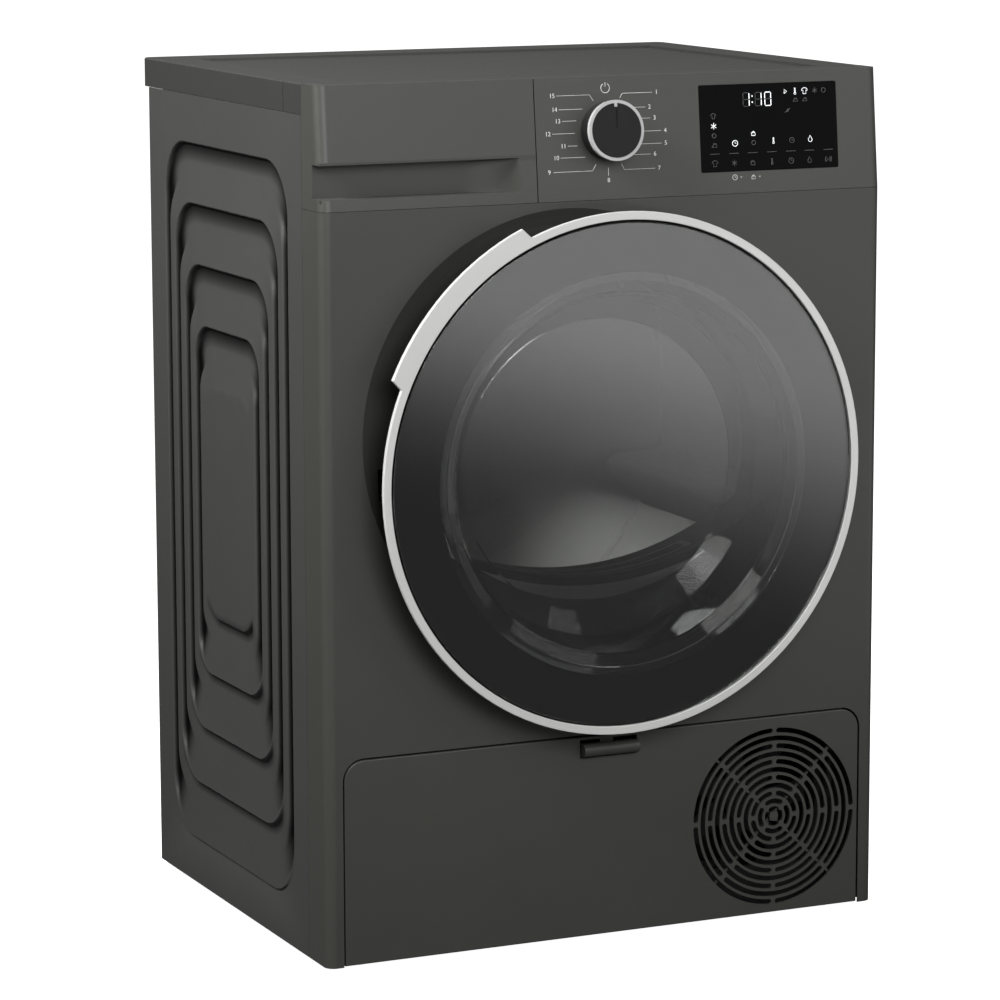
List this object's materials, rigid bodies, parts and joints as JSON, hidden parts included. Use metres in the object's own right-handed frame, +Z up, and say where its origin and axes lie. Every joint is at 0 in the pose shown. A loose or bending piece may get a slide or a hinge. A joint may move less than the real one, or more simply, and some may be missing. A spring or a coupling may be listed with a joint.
{
  "type": "clothes dryer",
  "caption": "Free-standing front-loading heat-pump clothes dryer with round glass door, dial and display, tank drawer, grille flap and embossed sides.",
  "frame": {"origin": "centre of the overall footprint, on the floor under the feet", "axes": "+X to the viewer's right, +Y to the rear, +Z up; the door faces -Y"},
  "size_m": [0.597, 0.525, 0.85],
  "materials": {
    "side_sheet": "satin powder coat, graphite grey",
    "front_sheet": "satin metallic paint, olive grey",
    "control_plastic": "fine satin paint on plastic, olive grey",
    "worktop_plastic": "fine-grained moulded plastic, grey",
    "worktop_sheet": "laminated board, grey",
    "gloss_window": "gloss black window",
    "circuit_board": "circuit board with components",
    "knob_plastic": "black moulded plastic",
    "bright_ring": "bright plated ring",
    "satin_ring": "satin silver",
    "smoked_glass": "smoked tempered glass with a dark printed border",
    "clear_bowl": "clear moulded bowl",
    "dark_plastic": "dark grained plastic",
    "filter_plastic": "grey frame with fine mesh",
    "lever_plastic": "light grey plastic",
    "fan_plastic": "black glass-filled plastic",
    "tank_plastic": "translucent grey plastic",
    "drum_steel": "stainless drum sheet",
    "lifter_plastic": "light grey plastic",
    "shaft_steel": "zinc-plated steel",
    "galvanised": "galvanised sheet",
    "black_rubber": "black rubber",
    "felt": "wool felt",
    "motor_steel": "dark lacquered steel",
    "compressor_paint": "black lacquered steel with copper pipes",
    "fin_aluminium": "aluminium fins on copper tubes"
  },
  "bodies": {
    "cabinet": {"side_panel_left": "side_sheet", "side_panel_right": "side_sheet", "front_panel": "front_sheet", "control_fascia": "control_plastic", "display_window": "gloss_window", "control_board": "circuit_board", "worktop_frame": "worktop_plastic", "worktop_board": "worktop_sheet", "rear_panel": "side_sheet", "mains_inlet": "dark_plastic", "base_tray": "dark_plastic", "door_fittings": "shaft_steel", "door_seal": "black_rubber", "loading_throat": "dark_plastic", "front_bulkhead": "galvanised", "drum_seals": "felt", "rear_bulkhead": "galvanised", "air_pan": "galvanised", "drum_belt": "black_rubber", "motor_body": "motor_steel", "fan_scroll": "dark_plastic", "air_ducts": "dark_plastic", "heat_exchangers": "fin_aluminium", "exchanger_cover": "dark_plastic", "compressor": "compressor_paint", "condensate_pump": "dark_plastic", "cooling_shroud": "dark_plastic", "inverter_box": "dark_plastic", "tank_housing": "dark_plastic", "screws": "shaft_steel"},
    "door": {"door_ring": "satin_ring", "door_glass": "smoked_glass", "door_frame": "dark_plastic", "door_bowl": "clear_bowl", "door_hinge_arm": "shaft_steel"},
    "drawer": {"drawer_front": "control_plastic", "water_tank": "tank_plastic", "tank_lid": "tank_plastic"},
    "flap": {"kick_flap": "control_plastic"},
    "latch": {"flap_latch": "control_plastic"},
    "knob": {"knob_body": "knob_plastic", "knob_ring": "bright_ring"},
    "drum": {"drum_shell": "drum_steel", "drum_back": "drum_steel", "drum_lifters": "lifter_plastic", "drum_shaft": "shaft_steel"},
    "rotor": {"motor_rotor": "shaft_steel", "process_fan": "fan_plastic"},
    "roller_l": {"roller_left": "black_rubber"},
    "roller_r": {"roller_right": "black_rubber"},
    "tensioner": {"tensioner_arm": "shaft_steel"},
    "idler": {"idler_pulley": "fan_plastic"},
    "cooling_wheel": {"cooling_fan": "fan_plastic"},
    "filter": {"lint_filter": "filter_plastic"},
    "lever_l": {"cover_lever_left": "lever_plastic"},
    "lever_r": {"cover_lever_right": "lever_plastic"},
    "foot_fl": {"foot_front_left": "black_rubber"},
    "foot_fr": {"foot_front_right": "black_rubber"},
    "foot_rl": {"foot_rear_left": "black_rubber"},
    "foot_rr": {"foot_rear_right": "black_rubber"}
  },
  "joints": [
    {"name": "door_swing", "type": "hinge", "parent": "cabinet", "child": "door", "pos_m": [0.244, -0.2465, 0.471], "axis": [0, 0, 1], "range_deg": [0, 150]},
    {"name": "drawer_slide", "type": "slide", "parent": "cabinet", "child": "drawer", "axis": [0, -1, 0], "range_m": [0, 0.34]},
    {"name": "flap_swing", "type": "hinge", "parent": "cabinet", "child": "flap", "pos_m": [0, -0.2125, 0.02], "axis": [1, 0, 0], "range_deg": [0, 90]},
    {"name": "latch_press", "type": "slide", "parent": "flap", "child": "latch", "axis": [0, 0, -1], "range_m": [0, 0.0035], "stiffness_N_per_m": 400, "springref_m": -0.002},
    {"name": "knob_turn", "type": "hinge", "parent": "cabinet", "child": "knob", "pos_m": [0, -0.21611, 0.798], "axis": [0, -0.9952, 0.0978], "continuous": true},
    {"name": "drum_spin", "type": "hinge", "parent": "cabinet", "child": "drum", "pos_m": [0, 0.1975, 0.478], "axis": [0, 1, 0], "continuous": true},
    {"name": "rotor_spin", "type": "hinge", "parent": "cabinet", "child": "rotor", "pos_m": [0.06, 0.0775, 0.105], "axis": [0, 1, 0], "continuous": true},
    {"name": "roller_left_spin", "type": "hinge", "parent": "cabinet", "child": "roller_l", "pos_m": [-0.16826, -0.1125, 0.2377], "axis": [0, 1, 0], "continuous": true},
    {"name": "roller_right_spin", "type": "hinge", "parent": "cabinet", "child": "roller_r", "pos_m": [0.16826, -0.1125, 0.2377], "axis": [0, 1, 0], "continuous": true},
    {"name": "tensioner_swing", "type": "hinge", "parent": "cabinet", "child": "tensioner", "pos_m": [-0.02952, -0.0095, 0.14431], "axis": [0, 1, 0], "range_deg": [0, 12], "stiffness_Nm_per_rad": 0.6, "springref_deg": -11.46},
    {"name": "idler_spin", "type": "hinge", "parent": "tensioner", "child": "idler", "pos_m": [0.01419, -0.0185, 0.11092], "axis": [0, 1, 0], "continuous": true},
    {"name": "cooling_spin", "type": "hinge", "parent": "cabinet", "child": "cooling_wheel", "pos_m": [0.1845, -0.1425, 0.106], "axis": [0, 1, 0], "continuous": true},
    {"name": "filter_lift", "type": "slide", "parent": "cabinet", "child": "filter", "axis": [0, 0, 1], "range_m": [0, 0.12]},
    {"name": "lever_left_turn", "type": "hinge", "parent": "cabinet", "child": "lever_l", "pos_m": [-0.244, -0.1675, 0.095], "axis": [0, 1, 0], "range_deg": [0, 90]},
    {"name": "lever_right_turn", "type": "hinge", "parent": "cabinet", "child": "lever_r", "pos_m": [-0.076, -0.1675, 0.095], "axis": [0, 1, 0], "range_deg": [-90, 0]},
    {"name": "foot_front_left_screw", "type": "hinge", "parent": "cabinet", "child": "foot_fl", "pos_m": [-0.255, -0.1805, 0.0027], "axis": [0, 0, 1], "continuous": true},
    {"name": "foot_front_right_screw", "type": "hinge", "parent": "cabinet", "child": "foot_fr", "pos_m": [0.255, -0.1805, 0.0027], "axis": [0, 0, 1], "continuous": true},
    {"name": "foot_rear_left_screw", "type": "hinge", "parent": "cabinet", "child": "foot_rl", "pos_m": [-0.255, 0.2175, 0.0027], "axis": [0, 0, 1], "continuous": true},
    {"name": "foot_rear_right_screw", "type": "hinge", "parent": "cabinet", "child": "foot_rr", "pos_m": [0.255, 0.2175, 0.0027], "axis": [0, 0, 1], "continuous": true}
  ],
  "couplings": [
    {"joint": "rotor_spin", "follows": "drum_spin", "ratio": 29.261},
    {"joint": "roller_left_spin", "follows": "drum_spin", "ratio": -10.72},
    {"joint": "roller_right_spin", "follows": "drum_spin", "ratio": -10.72},
    {"joint": "idler_spin", "follows": "drum_spin", "ratio": -22.533}
  ]
}
